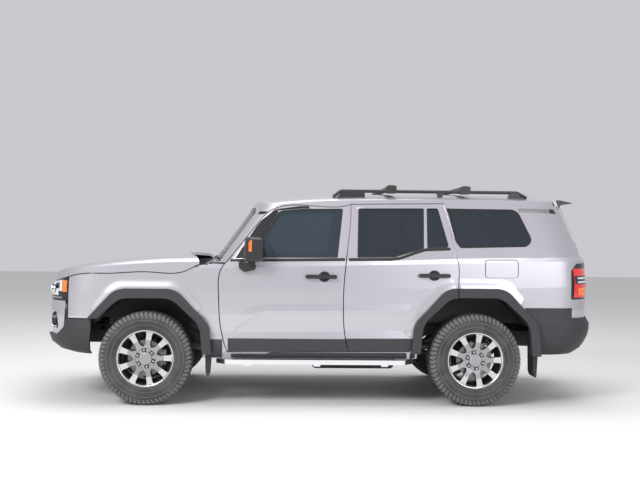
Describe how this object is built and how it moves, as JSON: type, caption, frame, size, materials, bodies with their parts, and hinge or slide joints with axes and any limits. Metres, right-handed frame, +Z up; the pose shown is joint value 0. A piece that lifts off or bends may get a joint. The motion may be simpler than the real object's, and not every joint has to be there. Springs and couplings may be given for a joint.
{
  "type": "off-road 4x4 car",
  "caption": "Five-door off-road car on a ladder frame with side steps, roof rails and crossbars; doors, hood, tailgate, wheels and steering move.",
  "frame": {"origin": "on the ground under the middle of the car's length and width", "axes": "+X to the tail, +Y to the passenger's side, +Z up; the nose points to -X"},
  "size_m": [4.9176, 2.2484, 1.9327],
  "materials": {
    "body_paint": "pale metallic silver",
    "side_glass": "tinted",
    "dark_plastic": "grained dark grey",
    "tyre_rubber": "matt",
    "wheel_alloy": "machined and lacquered",
    "black_metal": "chassis black",
    "cast_metal": "cast",
    "lamp_lens": "clear lens over a bright inside",
    "tail_lens": "red lens",
    "step_aluminium": "polished with a ribbed top",
    "rail_finish": "satin black",
    "exhaust_steel": "dull steel",
    "seat_cloth": "grey cloth",
    "cabin_plastic": "grained"
  },
  "bodies": {
    "body": {"ladder_frame": "black_metal", "engine_block": "cast_metal", "driveline": "cast_metal", "rear_axle": "black_metal", "rear_suspension": "black_metal", "front_suspension": "black_metal", "body_shell": "body_paint", "floor_pan": "black_metal", "roof_panel": "body_paint", "front_fenders": "body_paint", "cowl": "dark_plastic", "fixed_glass": "side_glass", "front_bumper": "body_paint", "front_guard": "dark_plastic", "grille": "dark_plastic", "headlamps": "lamp_lens", "rear_bumper": "dark_plastic", "tail_lamps": "tail_lens", "arch_trims": "dark_plastic", "wheel_liners": "dark_plastic", "side_steps": "step_aluminium", "roof_rails": "rail_finish", "crossbars": "rail_finish", "exhaust": "exhaust_steel", "fuel_tank": "dark_plastic", "spare_wheel": "tyre_rubber", "front_seats": "seat_cloth", "rear_seat": "seat_cloth", "dashboard": "cabin_plastic"},
    "hood": {"hood": "body_paint"},
    "tailgate": {"tailgate": "body_paint", "tailgate_glass": "side_glass", "spoiler": "dark_plastic"},
    "steering_wheel": {"steering_wheel": "cabin_plastic"},
    "fuel_door": {"fuel_door": "body_paint"},
    "tie_rods": {"tie_rods": "black_metal"},
    "front_door_left": {"front_door_left": "body_paint", "front_door_glass_left": "side_glass", "front_door_trim_left": "dark_plastic"},
    "front_door_right": {"front_door_right": "body_paint", "front_door_glass_right": "side_glass", "front_door_trim_right": "dark_plastic"},
    "rear_door_left": {"rear_door_left": "body_paint", "rear_door_glass_left": "side_glass", "rear_door_trim_left": "dark_plastic"},
    "rear_door_right": {"rear_door_right": "body_paint", "rear_door_glass_right": "side_glass", "rear_door_trim_right": "dark_plastic"},
    "wheel_front_left": {"front_tyre_left": "tyre_rubber", "front_rim_left": "wheel_alloy"},
    "knuckle_left": {"knuckle_left": "cast_metal"},
    "wheel_front_right": {"front_tyre_right": "tyre_rubber", "front_rim_right": "wheel_alloy"},
    "knuckle_right": {"knuckle_right": "cast_metal"},
    "wheel_rear_left": {"rear_tyre_left": "tyre_rubber", "rear_rim_left": "wheel_alloy"},
    "wheel_rear_right": {"rear_tyre_right": "tyre_rubber", "rear_rim_right": "wheel_alloy"}
  },
  "joints": [
    {"name": "front_door_left_hinge", "type": "hinge", "parent": "body", "child": "front_door_left", "pos_m": [-0.8395, -0.91784, 1], "axis": [0, 0, -1], "range_deg": [0, 68]},
    {"name": "front_door_right_hinge", "type": "hinge", "parent": "body", "child": "front_door_right", "pos_m": [-0.8395, 0.91784, 1], "axis": [0, 0, 1], "range_deg": [0, 68]},
    {"name": "rear_door_left_hinge", "type": "hinge", "parent": "body", "child": "rear_door_left", "pos_m": [0.2365, -0.93465, 1], "axis": [0, 0, -1], "range_deg": [0, 68]},
    {"name": "rear_door_right_hinge", "type": "hinge", "parent": "body", "child": "rear_door_right", "pos_m": [0.2365, 0.93465, 1], "axis": [0, 0, 1], "range_deg": [0, 68]},
    {"name": "steer_left", "type": "hinge", "parent": "body", "child": "knuckle_left", "pos_m": [-1.5275, -0.74, 0.401], "axis": [0, 0, 1], "range_deg": [-35, 35]},
    {"name": "wheel_front_left_spin", "type": "hinge", "parent": "knuckle_left", "child": "wheel_front_left", "pos_m": [-1.5275, -0.832, 0.401], "axis": [0, 1, 0], "continuous": true},
    {"name": "steer_right", "type": "hinge", "parent": "body", "child": "knuckle_right", "pos_m": [-1.5275, 0.74, 0.401], "axis": [0, 0, 1], "range_deg": [-35, 35]},
    {"name": "wheel_front_right_spin", "type": "hinge", "parent": "knuckle_right", "child": "wheel_front_right", "pos_m": [-1.5275, 0.832, 0.401], "axis": [0, 1, 0], "continuous": true},
    {"name": "wheel_rear_left_spin", "type": "hinge", "parent": "body", "child": "wheel_rear_left", "pos_m": [1.3225, -0.832, 0.401], "axis": [0, 1, 0], "continuous": true},
    {"name": "wheel_rear_right_spin", "type": "hinge", "parent": "body", "child": "wheel_rear_right", "pos_m": [1.3225, 0.832, 0.401], "axis": [0, 1, 0], "continuous": true},
    {"name": "steering_wheel_turn", "type": "hinge", "parent": "body", "child": "steering_wheel", "pos_m": [-0.4375, -0.38, 1.27], "axis": [0.9063, 0, 0.4226], "range_deg": [-525, 525]},
    {"name": "tie_rod_slide", "type": "slide", "parent": "body", "child": "tie_rods", "axis": [0, 1, 0], "range_m": [-0.07, 0.07]},
    {"name": "hood_hinge", "type": "hinge", "parent": "body", "child": "hood", "pos_m": [-1.06, 0, 1.2], "axis": [0, 1, 0], "range_deg": [0, 50]},
    {"name": "tailgate_hinge", "type": "hinge", "parent": "body", "child": "tailgate", "pos_m": [2.0745, 0, 1.846], "axis": [0, -1, 0], "range_deg": [0, 82]},
    {"name": "fuel_door_hinge", "type": "hinge", "parent": "body", "child": "fuel_door", "pos_m": [1.4145, -0.93315, 1.197], "axis": [0, 0, -1], "range_deg": [0, 85]}
  ],
  "couplings": [
    {"joint": "steer_left", "follows": "steering_wheel_turn", "ratio": 0.066667},
    {"joint": "steer_right", "follows": "steering_wheel_turn", "ratio": 0.066667},
    {"joint": "tie_rod_slide", "follows": "steering_wheel_turn", "m_per_rad": 0.0074}
  ]
}
